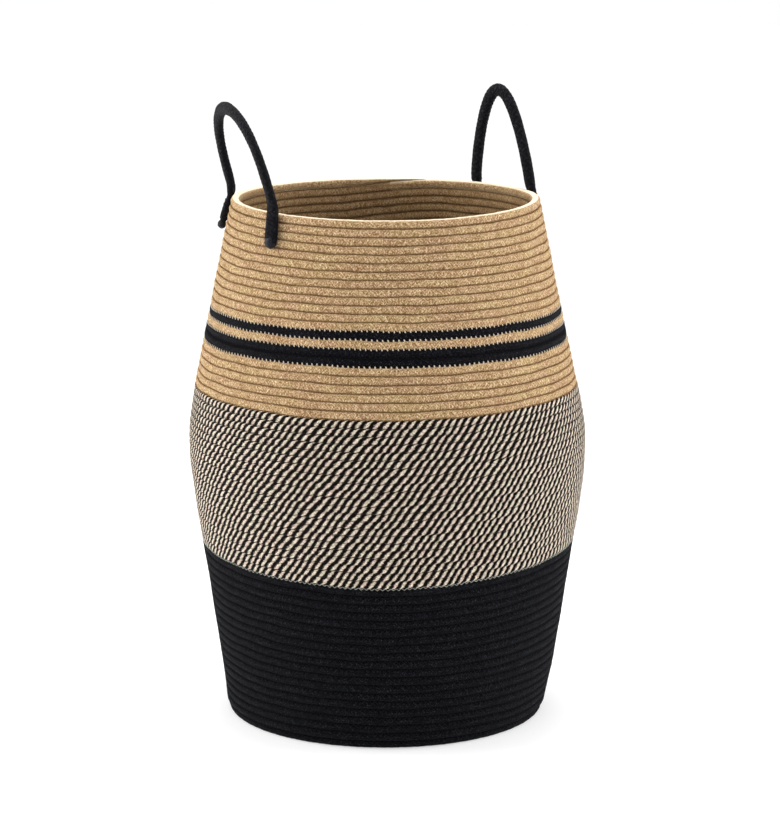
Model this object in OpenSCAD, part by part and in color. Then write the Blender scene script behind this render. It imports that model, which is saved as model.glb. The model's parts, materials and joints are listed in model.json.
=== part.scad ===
// Tall barrel-shaped basket, coiled from rope and sewn, with two rope loop handles.
// Millimetres, Z up. The origin is the middle of the base, on the surface that it stands on.
// The front of the basket looks along -Y, and +X is its right side.

/* [Basket] */
// Outer diameter at the foot
base_d = 400; // [370:5:480]
// Outer diameter at the belly, the widest place
belly_d = 490; // [450:5:600]
// Outer diameter at the top edge
rim_d = 380; // [310:5:460]
// Height of the belly
belly_h = 350; // [280:5:430]
// Length over which the wall turns below the belly
lower_round = 87; // [20:1:150]
// Length over which the wall turns above the belly
upper_round = 45; // [20:1:150]
// How far the lowest turn is drawn in, to round the corner of the foot
corner_step = 3.5; // [0:0.1:4]

/* [Rope] */
// Height that each turn of braided rope adds to the coil
turn_pitch = 10.3; // [8:0.1:12.5]
// Height that each turn of the thinner two-tone rope adds
two_tone_pitch = 9.4; // [7.5:0.1:12]
// How much thicker a rope is than its turns are high, before sewing presses it flat
rope_press = 1; // [0.9:0.1:1.5]
// Diameter of the sewing thread
thread_d = 0.9; // [0.5:0.1:1.2]
// Clearance between the thread and the ropes on both sides of it
thread_gap = 0.05; // [0.02:0.01:0.1]
// Clearance round the first end of the rope, in the middle of the base
start_gap = 0.3; // [0.2:0.05:1]

/* [Turns] */
// Black turns at the foot, with the one that the base ends in
black_turns = 20; // [5:1:22]
// Turns of black and cream twisted rope
two_tone_turns = 22; // [5:1:24]
// Tan turns under the stripes
lower_tan_turns = 6; // [1:1:10]
// Turns of the broad black stripe
double_stripe_turns = 2; // [1:1:3]
// Tan turns between the stripes
tan_stripe_turns = 1; // [1:1:3]
// Turns of the narrow black stripe
black_stripe_turns = 1; // [1:1:3]
// Tan turns over the stripes, without the rim
upper_tan_turns = 12; // [8:1:15]

/* [Handles] */
// Width of the handle rope, along the wall
handle_w = 15; // [13:0.5:20]
// Thickness of the handle rope, out from the wall
handle_t = 11; // [9:0.5:12.5]
// Where the left handle is, in degrees from +X
left_azimuth = 198; // [180:1:210]
// Distance between the legs of the left handle, centre to centre
left_span = 186; // [150:1:230]
// Height of the left loop over its hinge, to the middle of the rope
left_rise = 112; // [90:1:140]
// Fullness of the left loop: 2 is half an ellipse, less is pointed, more is square
left_fullness = 3.05; // [1.2:0.05:4]
// How far the left loop leans outward at rest
left_lean = 15.5; // [0:0.5:30]
// Where the right handle is, in degrees from +X
right_azimuth = 37; // [20:0.5:60]
// Distance between the legs of the right handle, centre to centre
right_span = 108; // [85:1:140]
// Height of the right loop over its hinge, to the middle of the rope
right_rise = 116; // [90:1:145]
// Fullness of the right loop
right_fullness = 1.2; // [1.2:0.05:4]
// How far the right loop leans outward at rest, negative for inward
right_lean = -4; // [-30:0.5:10]
// Length of each leg that is sewn to the wall, from the hinge
leg_length = 45; // [36:1:60]
// Diameter of the sealed rope end under each leg
tip_d = 13; // [12:0.5:16]

/* [Handle fits] */
// Clearance between a leg and the rounded turns that it lies on
leg_gap = 0.18; // [0.1:0.02:1]
// Clearance between a moving loop and its sewn legs
hinge_gap = 0.3; // [0.2:0.05:0.6]
// Clearance between the rim and a loop that is folded inward
rim_gap = 0.7; // [0.5:0.1:2]
// How far a loop folds outward from upright
outward_limit = 115; // [90:1:120]
// How far a loop folds inward from upright
inward_limit = 90; // [60:1:90]

/* [Handle stitching] */
// Length of one stitch
stitch_length = 3.6; // [2:0.1:4.5]
// Thickness of the thread of a stitch
stitch_t = 0.8; // [0.5:0.1:1.2]
// Gap between one stitch and the next in its row
stitch_gap = 2; // [1:0.1:3]
// Where the first stitch starts, from the hinge
stitch_start = 15; // [14:0.5:16]
// Length of leg below the last stitch, at least
stitch_end = 4; // [2:0.5:8]
// Distance between the two rows
stitch_rows = 2.6; // [1.5:0.1:3]

/* [Hidden] */
$fn = 96;

black = [0.09, 0.09, 0.10];
tan_rope = [0.80, 0.64, 0.44];
two_tone = [0.45, 0.40, 0.36];
small_fn = 24;
// The thin seam rings have a six-sided section, which keeps their meshes small
thread_fn = 6;
// How far a cutting shape reaches past what it cuts
through = 20;

rope_d = turn_pitch + rope_press;
rope_r = rope_d / 2;
two_tone_d = two_tone_pitch + rope_press;

// The first turn of each band, counted from 0 at the foot
two_tone_first = black_turns;
lower_tan_first = two_tone_first + two_tone_turns;
double_stripe_first = lower_tan_first + lower_tan_turns;
tan_stripe_first = double_stripe_first + double_stripe_turns;
black_stripe_first = tan_stripe_first + tan_stripe_turns;
upper_tan_first = black_stripe_first + black_stripe_turns;
rim_first = upper_tan_first + upper_tan_turns;

// Height of the lower side of turn i
function turn_z(i) =
    let (two_tones_under = min(max(i - two_tone_first, 0), two_tone_turns))
    i * turn_pitch - two_tones_under * (turn_pitch - two_tone_pitch);

// Radius of the rope in turn i
function turn_rope_r(i) = i >= two_tone_first && i < lower_tan_first ? two_tone_d / 2 : rope_r;

height = turn_z(rim_first + 1);

// ---- Wall ----

// Rise of a hyperbola that starts level and turns over the length `round`: 0 at 0, 1 at `span`
function flare(distance, span, round) =
    (sqrt(distance * distance + round * round) - round) / (sqrt(span * span + round * round) - round);

// Outer radius of the wall at height z
function wall_r(z) = z < belly_h
    ? belly_d / 2 - (belly_d - base_d) / 2 * flare(belly_h - z, belly_h, lower_round)
    : belly_d / 2 - (belly_d - rim_d) / 2 * flare(z - belly_h, height - belly_h, upper_round);

// Middle of the rope of one turn, as [radius, height]
function turn_at(i) =
    let (middle = (turn_z(i) + turn_z(i + 1)) / 2)
    i == 0 ? [turn_at(1)[0] - corner_step, middle] : [wall_r(middle) - turn_rope_r(i), middle];

// The base is a flat coil of whole turns that ends in turn 0
corner_r = turn_at(0)[0];
base_rings = round(corner_r / turn_pitch);
base_pitch = corner_r / base_rings;
function ring_at(i) = [(i + 1) * base_pitch, turn_pitch / 2];

// Where a thread lies in the groove between the ropes at a and b, on the side to the right of a to b
function groove_at(a, b, a_rope_r, b_rope_r) =
    let (
        apart = norm(b - a),
        along = (b - a) / apart,
        out = [along[1], -along[0]],
        a_reach = a_rope_r + thread_d / 2 + thread_gap,
        b_reach = b_rope_r + thread_d / 2 + thread_gap,
        step = (apart * apart + a_reach * a_reach - b_reach * b_reach) / (2 * apart)
    )
    a + along * step + out * sqrt(a_reach * a_reach - step * step);

// `count` turns of the wall from turn `first`, cut flat where they meet the next rope
module band(first, count) {
    rotate_extrude()
        intersection() {
            for (i = [first : first + count - 1])
                translate(turn_at(i)) circle(r = turn_rope_r(i), $fn = small_fn);
            translate([0, turn_z(first)]) square([belly_d, turn_z(first + count) - turn_z(first)]);
        }
}

// Seam threads in the outer grooves first to last, where groove i lies between turns i and i + 1
module wall_seam(first, last) {
    rotate_extrude()
        for (i = [first : last])
            translate(groove_at(turn_at(i), turn_at(i + 1), turn_rope_r(i), turn_rope_r(i + 1)))
                circle(d = thread_d, $fn = thread_fn);
}

module base_start() {
    color(black)
        cylinder(r = base_pitch - rope_r - start_gap, h = turn_pitch);
}

module base_coil() {
    color(black)
        rotate_extrude()
            intersection() {
                for (i = [0 : base_rings - 1])
                    translate(ring_at(i)) circle(d = rope_d, $fn = small_fn);
                square([belly_d, turn_pitch]);
            }
}

module base_seam() {
    color(black)
        rotate_extrude()
            for (i = [0 : base_rings - 2])
                translate(groove_at(ring_at(i + 1), ring_at(i), rope_r, rope_r))
                    circle(d = thread_d, $fn = thread_fn);
}

module black_coil() {
    color(black) band(1, black_turns - 1);
}

module two_tone_coil() {
    color(two_tone) band(two_tone_first, two_tone_turns);
}

module lower_tan_coil() {
    color(tan_rope) band(lower_tan_first, lower_tan_turns);
}

module double_stripe_coil() {
    color(black) band(double_stripe_first, double_stripe_turns);
}

module tan_stripe_coil() {
    color(tan_rope) band(tan_stripe_first, tan_stripe_turns);
}

module black_stripe_coil() {
    color(black) band(black_stripe_first, black_stripe_turns);
}

module upper_tan_coil() {
    color(tan_rope) band(upper_tan_first, upper_tan_turns);
}

module rim_coil() {
    color(tan_rope) band(rim_first, 1);
}

module black_seam() {
    color(black) {
        wall_seam(0, two_tone_first - 2);
        if (double_stripe_turns > 1) wall_seam(double_stripe_first, tan_stripe_first - 2);
    }
}

module two_tone_seam() {
    color(two_tone) wall_seam(two_tone_first - 1, lower_tan_first - 2);
}

// Every groove beside a tan turn is sewn with tan thread
module tan_seam() {
    color(tan_rope) {
        wall_seam(lower_tan_first - 1, double_stripe_first - 1);
        wall_seam(tan_stripe_first - 1, rim_first - 1);
    }
}

// ---- Handles ----

// The loop's round ends are a little larger than its rope
hinge_d = handle_t + 0.4;
hinge_length = handle_w + 1;
loop_steps = 32;
loop_sides = 12;

// A leg lies along the slope of the wall, and the loop turns about its upper end
leg_tilt = atan((wall_r(height - leg_length) - wall_r(height)) / leg_length);
hinge_z = height + rim_gap + hinge_d / 2;
// On a slope the rounded turns stand out past the line through the middles of their outer sides
turn_bulge = rope_r * (1 - cos(leg_tilt));
leg_reach = (leg_gap + turn_bulge + handle_t / 2) / cos(leg_tilt);
hinge_r = wall_r(height) + leg_reach - (hinge_z - height) * tan(leg_tilt);

// Each handle is [azimuth, span, rise, fullness, lean]
left_handle = [left_azimuth, left_span, left_rise, left_fullness, left_lean];
right_handle = [right_azimuth, right_span, right_rise, right_fullness, right_lean];

// Angle from the middle of a handle to its legs, about the axis of the basket
function leg_angle(handle) = asin(handle[1] / 2 / hinge_r);

// Flattened round section of the handle rope, its width along Y
module handle_section() {
    square([handle_t, handle_w - handle_t], center = true);
    for (side = [-1, 1])
        translate([0, side * (handle_w - handle_t) / 2]) circle(d = handle_t, $fn = small_fn);
}

// The place of a handle's hinge: X outward, Y along the hinge axis, Z up
module at_hinge(handle) {
    rotate([0, 0, handle[0]])
        translate([hinge_r * cos(leg_angle(handle)), 0, hinge_z])
            children();
}

// Middle of the rope of a loop, as [y, z] in its own plane: a curve between half an ellipse and an arch
function loop_at(handle, i) =
    let (turn = 180 * i / loop_steps)
    [handle[1] / 2 * cos(turn), handle[2] * pow(sin(turn), 2 / handle[3])];

// Direction of the rope there. It leaves both hinges straight up
function loop_heading(handle, i) =
    i == 0 ? [0, 1]
    : i == loop_steps ? [0, -1]
    : let (step = loop_at(handle, i + 1) - loop_at(handle, i - 1)) step / norm(step);

// The round of points about the rope there
function loop_ring(handle, i) =
    let (middle = loop_at(handle, i), heading = loop_heading(handle, i))
    [
        for (k = [0 : loop_sides - 1])
            let (around = 360 * k / loop_sides, across = handle_w / 2 * sin(around))
            [
                handle_t / 2 * cos(around),
                middle[0] + across * heading[1],
                middle[1] - across * heading[0]
            ]
    ];

// The soft rope of a loop, swept from one hinge to the other
module loop_rope(handle) {
    points = [for (i = [0 : loop_steps]) each loop_ring(handle, i)];
    sides = [
        for (i = [0 : loop_steps - 1], k = [0 : loop_sides - 1])
            let (next = (k + 1) % loop_sides)
            [
                i * loop_sides + k,
                (i + 1) * loop_sides + k,
                (i + 1) * loop_sides + next,
                i * loop_sides + next
            ]
    ];
    start = [for (k = [0 : loop_sides - 1]) k];
    end = [for (k = [loop_sides - 1 : -1 : 0]) loop_steps * loop_sides + k];
    polyhedron(points, concat([start], sides, [end]));
}

// The loop ends in a round barrel on each hinge, just above the rim
module loop(handle) {
    color(black)
        at_hinge(handle)
            rotate([0, handle[4], 0]) {
                loop_rope(handle);
                for (side = [-0.5, 0.5])
                    translate([0, side * handle[1], 0])
                        rotate([90, 0, 0])
                            cylinder(d = hinge_d, h = hinge_length, center = true);
            }
}

// The space that a loop needs at its hinge, from one end of its travel to the other
module hinge_room(handle) {
    room = hinge_d / 2 + hinge_gap;
    at_hinge(handle) {
        rotate([90, 0, 0])
            cylinder(r = room, h = belly_d, center = true);
        rotate([0, outward_limit, 0])
            translate([-through, -belly_d / 2, 0])
                cube([through + room, belly_d, leg_length]);
        rotate([0, -inward_limit, 0])
            translate([-room, -belly_d / 2, 0])
                cube([room + through, belly_d, leg_length]);
    }
}

// The place of a leg's upper end on the wall: X outward, Z up along the leg. end is 1 or -1
module at_leg(handle, end) {
    rotate([0, 0, handle[0] + end * leg_angle(handle)])
        translate([hinge_r, 0, hinge_z])
            rotate([0, -leg_tilt, 0])
                children();
}

module leg(handle, end) {
    color(black)
        difference() {
            at_leg(handle, end)
                translate([0, 0, -leg_length])
                    linear_extrude(leg_length) handle_section();
            hinge_room(handle);
        }
}

// The sealed end of the rope, a ball cut off where it meets the leg
module tip(handle, end) {
    proud = (tip_d - handle_t) / 2;
    color(black)
        at_leg(handle, end)
            intersection() {
                translate([proud, 0, -leg_length - tip_d / 3]) sphere(d = tip_d);
                translate([-tip_d, -tip_d, -leg_length - 2 * tip_d]) cube(2 * tip_d);
            }
}

// A row has as many stitches as the leg has room for
stitch_pitch = stitch_length + stitch_gap;
stitch_count = floor((leg_length - stitch_start - stitch_end + stitch_gap) / stitch_pitch);

// Two rows of stitches on the flat outer face of a leg
module stitches(handle, end) {
    color(black)
        at_leg(handle, end)
            for (i = [0 : stitch_count - 1], row = [-0.5, 0.5])
                translate([
                    handle_t / 2,
                    row * stitch_rows - stitch_t / 2,
                    -stitch_start - i * stitch_pitch - stitch_length
                ])
                    cube([stitch_t, stitch_t, stitch_length]);
}

base_start();
base_coil();
base_seam();
black_coil();
two_tone_coil();
lower_tan_coil();
double_stripe_coil();
tan_stripe_coil();
black_stripe_coil();
upper_tan_coil();
rim_coil();
black_seam();
two_tone_seam();
tan_seam();
loop(left_handle);  // left_loop
leg(left_handle, 1);  // left_front_leg
leg(left_handle, -1);  // left_rear_leg
tip(left_handle, 1);  // left_front_tip
tip(left_handle, -1);  // left_rear_tip
stitches(left_handle, 1);  // left_front_stitches
stitches(left_handle, -1);  // left_rear_stitches
loop(right_handle);  // right_loop
leg(right_handle, -1);  // right_front_leg
leg(right_handle, 1);  // right_rear_leg
tip(right_handle, -1);  // right_front_tip
tip(right_handle, 1);  // right_rear_tip
stitches(right_handle, -1);  // right_front_stitches
stitches(right_handle, 1);  // right_rear_stitches
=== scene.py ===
import json
import math

import bmesh
import bpy
import numpy as np
from mathutils import Matrix, Vector


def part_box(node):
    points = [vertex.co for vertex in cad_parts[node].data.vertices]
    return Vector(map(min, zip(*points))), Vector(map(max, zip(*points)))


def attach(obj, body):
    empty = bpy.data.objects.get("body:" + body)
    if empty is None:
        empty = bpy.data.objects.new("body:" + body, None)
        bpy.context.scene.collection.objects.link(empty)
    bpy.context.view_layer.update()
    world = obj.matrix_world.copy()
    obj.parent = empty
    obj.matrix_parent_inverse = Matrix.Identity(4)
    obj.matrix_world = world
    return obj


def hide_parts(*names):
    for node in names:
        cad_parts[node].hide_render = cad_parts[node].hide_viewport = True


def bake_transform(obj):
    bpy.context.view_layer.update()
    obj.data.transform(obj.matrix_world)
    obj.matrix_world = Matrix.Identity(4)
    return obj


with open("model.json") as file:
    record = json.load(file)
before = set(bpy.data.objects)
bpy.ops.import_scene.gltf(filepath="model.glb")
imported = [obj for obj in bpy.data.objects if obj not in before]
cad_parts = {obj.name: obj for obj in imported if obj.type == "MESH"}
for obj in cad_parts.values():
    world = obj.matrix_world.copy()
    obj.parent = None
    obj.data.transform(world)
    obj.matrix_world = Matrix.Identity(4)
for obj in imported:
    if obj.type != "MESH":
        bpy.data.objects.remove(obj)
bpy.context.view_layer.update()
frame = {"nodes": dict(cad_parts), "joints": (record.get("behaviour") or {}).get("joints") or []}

mm = 0.001
fullTurn = 2 * math.pi

studio = {
    "cameraPlace": (0, -3.736, 1.124),
    "cameraTilt": 11.45,  # degrees below the horizon
    "cameraTurn": -0.085,
    "lens": 130.2,  # millimetres, on a 36 mm sensor
    "worldLight": 1.0,
    "sideLight": 42,  # watts
    "rightShare": 0.8,  # of the left light
    "sideLampPlace": (2.3, 0.2, 1.2),
    "sideLampSize": 1.6,
    "topLight": 42,
    "topLampPlace": (0, 0.5, 2.9),
    "topLampSize": 1.4,
    "lampAim": (0, 0, 0.35),
    "floorReach": 12,  # metres each way
    "floorColour": (0.62, 0.62, 0.62, 1),
    "floorRoughness": 0.9,
    "floorGlow": 0.42,  # the floor glows a little, which keeps its shadows faint
}


def makeStudio():
    scene = bpy.context.scene
    scene.view_settings.view_transform = "Standard"

    lensData = bpy.data.cameras.new("camera")
    lensData.lens = studio["lens"]
    lensData.clip_end = 50
    camera = bpy.data.objects.new("camera", lensData)
    camera.location = studio["cameraPlace"]
    camera.rotation_euler = (
        math.radians(90 - studio["cameraTilt"]),
        0,
        math.radians(studio["cameraTurn"]),
    )
    scene.collection.objects.link(camera)
    scene.camera = camera

    world = bpy.data.worlds.new("studio")
    world.use_nodes = True
    background = world.node_tree.nodes["Background"]
    background.inputs["Color"].default_value = (1, 1, 1, 1)
    background.inputs["Strength"].default_value = studio["worldLight"]
    scene.world = world

    sideX, sideY, sideZ = studio["sideLampPlace"]
    sideSize = studio["sideLampSize"]
    lamps = [
        ("left_lamp", (-sideX, sideY, sideZ), sideSize, studio["sideLight"]),
        ("right_lamp", (sideX, sideY, sideZ), sideSize, studio["sideLight"] * studio["rightShare"]),
        ("top_lamp", studio["topLampPlace"], studio["topLampSize"], studio["topLight"]),
    ]
    aim = Vector(studio["lampAim"])
    for name, place, size, power in lamps:
        lampData = bpy.data.lights.new(name, "AREA")
        lampData.size = size
        lampData.energy = power
        lamp = bpy.data.objects.new(name, lampData)
        lamp.location = place
        lamp.rotation_euler = (aim - Vector(place)).to_track_quat("-Z", "Y").to_euler()
        scene.collection.objects.link(lamp)

    bm = bmesh.new()
    bmesh.ops.create_grid(bm, x_segments=1, y_segments=1, size=studio["floorReach"])
    floorMesh = bpy.data.meshes.new("floor")
    bm.to_mesh(floorMesh)
    bm.free()
    paper = bpy.data.materials.new("floor paper")
    paper.use_nodes = True
    surface = paper.node_tree.nodes["Principled BSDF"]
    surface.inputs["Base Color"].default_value = studio["floorColour"]
    surface.inputs["Roughness"].default_value = studio["floorRoughness"]
    surface.inputs["Specular IOR Level"].default_value = 0.0
    surface.inputs["Emission Color"].default_value = (1, 1, 1, 1)
    surface.inputs["Emission Strength"].default_value = studio["floorGlow"]
    floorMesh.materials.append(paper)
    floor = bpy.data.objects.new("floor", floorMesh)
    scene.collection.objects.link(floor)
    print("studio made")


class Shade:
    # wraps one socket, so that sums on values add their Math nodes
    def __init__(self, tree, socket=None):
        self.tree = tree
        self.socket = socket

    def add(self, nodeType, settings, sockets, output=0):
        node = self.tree.nodes.new(nodeType)
        for key, value in settings.items():
            setattr(node, key, value)
        for key, value in sockets.items():
            if isinstance(value, Shade):
                self.tree.links.new(value.socket, node.inputs[key])
            else:
                node.inputs[key].default_value = value
        return Shade(self.tree, node.outputs[output] if node.outputs else None)

    def out(self, name):
        return Shade(self.tree, self.socket.node.outputs[name])

    def math(self, operation, *values):
        return self.add("ShaderNodeMath", {"operation": operation}, dict(enumerate(values)))

    def __add__(self, other):
        return self.math("ADD", self, other)

    def __radd__(self, other):
        return self.math("ADD", other, self)

    def __sub__(self, other):
        return self.math("SUBTRACT", self, other)

    def __rsub__(self, other):
        return self.math("SUBTRACT", other, self)

    def __mul__(self, other):
        return self.math("MULTIPLY", self, other)

    def __rmul__(self, other):
        return self.math("MULTIPLY", other, self)

    def __pow__(self, other):
        return self.math("POWER", self, other)

    def fract(self):
        return self.math("FRACT", self)

    def floor(self):
        return self.math("FLOOR", self)

    def sine(self):
        return self.math("SINE", self)

    def below(self, limit):
        return self.math("LESS_THAN", self, limit)

    def clamped(self):
        return self.math("MINIMUM", self.math("MAXIMUM", self, 0.0), 1.0)

    def mixed(self, first, second):
        # a colour between first and second, by this value
        return self.add(
            "ShaderNodeMix",
            {"data_type": "RGBA"},
            {0: self, 6: first, 7: second},
            2,
        )

    def chance(self, vector):
        # a random value for each place
        return self.add("ShaderNodeTexWhiteNoise", {"noise_dimensions": "3D"}, {"Vector": vector}, "Value")

    def noise(self, vector, scale, detail=3.0, roughness=0.6):
        return self.add(
            "ShaderNodeTexNoise",
            {},
            {"Vector": vector, "Scale": scale, "Detail": detail, "Roughness": roughness},
            "Fac",
        )

    def vector(self, x, y, z=0.0):
        return self.add("ShaderNodeCombineXYZ", {}, {"X": x, "Y": y, "Z": z})


def newMaterial(name):
    material = bpy.data.materials.new(name)
    material.use_nodes = True
    material.node_tree.nodes.clear()
    return material, Shade(material.node_tree)


def finishMaterial(shade, colour, roughness, height, look):
    bump = shade.add(
        "ShaderNodeBump",
        {},
        {"Height": height, "Strength": look["bump"], "Distance": look["depth"]},
    )
    surface = shade.add(
        "ShaderNodeBsdfPrincipled",
        {},
        {
            "Base Color": colour,
            "Roughness": roughness,
            "Normal": bump,
            "Specular IOR Level": look["specular"],
            "Sheen Weight": look["sheen"],
            "Sheen Roughness": look["sheenRoughness"],
        },
    )
    shade.add("ShaderNodeOutputMaterial", {}, {"Surface": surface})


# for the braided ropes, pale is the painted highlight on strand crowns and random glints, and deep the
# painted shade between strands, which also colours random dark specks and the painted inside shade
tanLook = {
    "pale": (0.98, 0.78, 0.53, 1),
    "deep": (0.185, 0.092, 0.026, 1),
    "firstTint": (0.60, 0.395, 0.235, 1),
    "secondTint": (0.57, 0.405, 0.20, 1),
    # groove is painted shade in the grooves, along the rope's top and bottom where the turns meet
    "groove": (0.145, 0.058, 0.013, 1),
    "grooveReach": (0.185, 0.315),  # of the way round, from the outside
    "paintedInsideShade": 0.38,  # painted shade: how much darker the side towards the inside of the basket is
    "untidy": 1.6,  # how far strands stray, in strands
    "bump": 0.9,
    "depth": 0.7 * mm,
    "specular": 0.06,
    "sheen": 0.0,
    "sheenRoughness": 0.5,
}
# the top of the rim has no neighbour. Its groove band is painted pale cream: a painted highlight where
# light falls on the rim's top, which also runs along its underside, and its painted inside shade is lighter
rimPaintedHighlightLook = {
    **tanLook,
    "groove": (0.88, 0.74, 0.55, 1),
    "grooveReach": (0.15, 0.40),
    "paintedInsideShade": 0.2,
}
blackLook = {
    "pale": (0.0400, 0.0400, 0.0500, 1),
    "deep": (0.0008, 0.0008, 0.0014, 1),
    "firstTint": (0.0038, 0.0034, 0.0054, 1),
    "secondTint": (0.0026, 0.0031, 0.0044, 1),
    # groove is painted shade in the grooves, along the rope's top and bottom where the turns meet
    "groove": (0.0010, 0.0010, 0.0014, 1),
    "grooveReach": (0.185, 0.315),
    "paintedInsideShade": 0.2,
    "untidy": 1.6,
    "bump": 0.9,
    "depth": 0.8 * mm,
    "specular": 0.055,
    "sheen": 0.01,
    "sheenRoughness": 0.4,
}
handleLook = {
    "pale": (0.0210, 0.0215, 0.0300, 1),
    "deep": (0.0010, 0.0010, 0.0018, 1),
    "firstTint": (0.0042, 0.0042, 0.0066, 1),
    "secondTint": (0.0032, 0.0036, 0.0056, 1),
    # groove is painted shade along the rope's two edges
    "groove": (0.0030, 0.0030, 0.0046, 1),
    "grooveReach": (0.185, 0.315),
    "paintedInsideShade": 0.0,
    "untidy": 0.8,
    "bump": 1.0,
    "depth": 1.0 * mm,
    "specular": 0.14,
    "sheen": 0.02,
    "sheenRoughness": 0.35,
}
twoToneLook = {
    "cream": (0.84, 0.75, 0.63, 1),
    "creamPink": (0.42, 0.285, 0.235, 1),
    "creamGreen": (0.36, 0.325, 0.22, 1),
    "dark": (0.0022, 0.0010, 0.0005, 1),
    # gap is the painted shade between strands
    "gap": (0.046, 0.026, 0.014, 1),
    "bump": 0.8,
    "depth": 0.8 * mm,
    "specular": 0.06,
    "sheen": 0.03,
    "sheenRoughness": 0.5,
}


# how much each pattern lightens or darkens a braid, and where its colours set in
braidShade = {
    # strand weighs the painted shade between strands and their lighter crowns; the other patterns are
    # random tone
    "strand": 0.7,
    "own": 0.4,
    "speckle": 5.2,
    "fibres": 1.4,
    "patches": 0.3,
    "lift": 0.06,
    "contrast": 1.25,
    "deepLevel": 0.40,
    "paleLevel": 1.05,
    "paleContrast": 1.6,
    "grooveEdge": 28,  # more is sharper
    "insideEdge": 20,
}


def braidedMaterial(name, look, strands):
    # strands of two directions, each over two and under two of the other.
    # lay X counts strands along the rope, lay Y goes once round it
    material, shade = newMaterial(name)
    lay = shade.add("ShaderNodeUVMap", {"uv_map": "lay"}, {})
    split = shade.add("ShaderNodeSeparateXYZ", {}, {"Vector": lay})
    along = split.out("X")
    around = split.out("Y")
    ease = shade.noise(shade.vector(along * 0.35, around * 4), 1.0, 3.0, 0.6)
    leftPhase = along + around * strands + (ease - 0.5) * look["untidy"]
    rightPhase = along - around * strands + (ease - 0.5) * look["untidy"]
    crossing = ((leftPhase.floor() + rightPhase.floor()) * 0.25).fract() * 4
    over = crossing.below(1.5)
    leftPart = leftPhase.fract()
    rightPart = rightPhase.fract()
    across = over * leftPart + (1 - over) * rightPart
    lengthwise = (over * (crossing + rightPart) + (1 - over) * (crossing - 2 + leftPart)) * 0.5
    crown = (across * math.pi).sine() ** 0.8
    dip = (lengthwise * math.pi).sine() ** 0.6
    strand = crown * (0.35 + 0.65 * dip)

    # each visible length of strand has its own shade, and fibres run along it
    number = over * leftPhase.floor() + (1 - over) * (rightPhase.floor() + 0.5)
    start = over * (rightPhase - lengthwise * 2) + (1 - over) * (leftPhase - lengthwise * 2)
    own = shade.chance(shade.vector((number + 0.01) * 1.7, (start + 0.3).floor() * 0.9, over * 5))
    fibrePlace = shade.vector(across * 6, lengthwise * 2, number * 3)
    fibres = shade.noise(fibrePlace, 1.5, 3.0, 0.65)
    speckle = shade.noise(shade.vector(along * 0.9, around * 19), 1.0, 5.0, 0.85)
    height = strand + fibres * 0.35 + speckle * 0.5

    patches = shade.noise(shade.vector(along * 0.06, around * 0.9), 1.0, 3.0, 0.6)
    tone = ((patches - 0.5) * 3.5 + 0.5).clamped()
    base = tone.mixed(look["firstTint"], look["secondTint"])
    # lit is partly painted light: the strand term paints shade where strands dip and between them, and
    # lighter crowns, while own, speckle, fibres and patches add random tone. Low lit goes to deep, painted
    # shade; above paleLevel it goes to pale, a painted highlight
    lit = strand * braidShade["strand"] + own * braidShade["own"] + (speckle - 0.5) * braidShade["speckle"]
    lit = lit + (fibres - 0.5) * braidShade["fibres"] + patches * braidShade["patches"] + braidShade["lift"]
    body = (lit * braidShade["contrast"] - braidShade["deepLevel"]).clamped()
    colour = body.mixed(look["deep"], base)
    highlight = ((lit - braidShade["paleLevel"]) * braidShade["paleContrast"]).clamped()
    colour = highlight.mixed(colour, look["pale"])
    offMiddle = shade.math("ABSOLUTE", around - 0.5)
    # painted groove band on the rope's top and bottom: painted shade where the turns meet, and a painted
    # highlight on the rim
    grooveFrom, grooveTo = look["grooveReach"]
    groove = ((offMiddle - grooveFrom + (speckle - 0.5) * 0.06) * braidShade["grooveEdge"]).clamped()
    groove = groove * ((grooveTo - offMiddle) * braidShade["grooveEdge"]).clamped()
    colour = groove.mixed(colour, look["groove"])
    # painted shade on the side towards the inside of the basket
    inside = ((offMiddle - grooveTo) * braidShade["insideEdge"]).clamped() * look["paintedInsideShade"]
    colour = inside.mixed(colour, look["deep"])
    finishMaterial(shade, colour, 0.92 - strand * 0.12, height, look)
    return material


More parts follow.
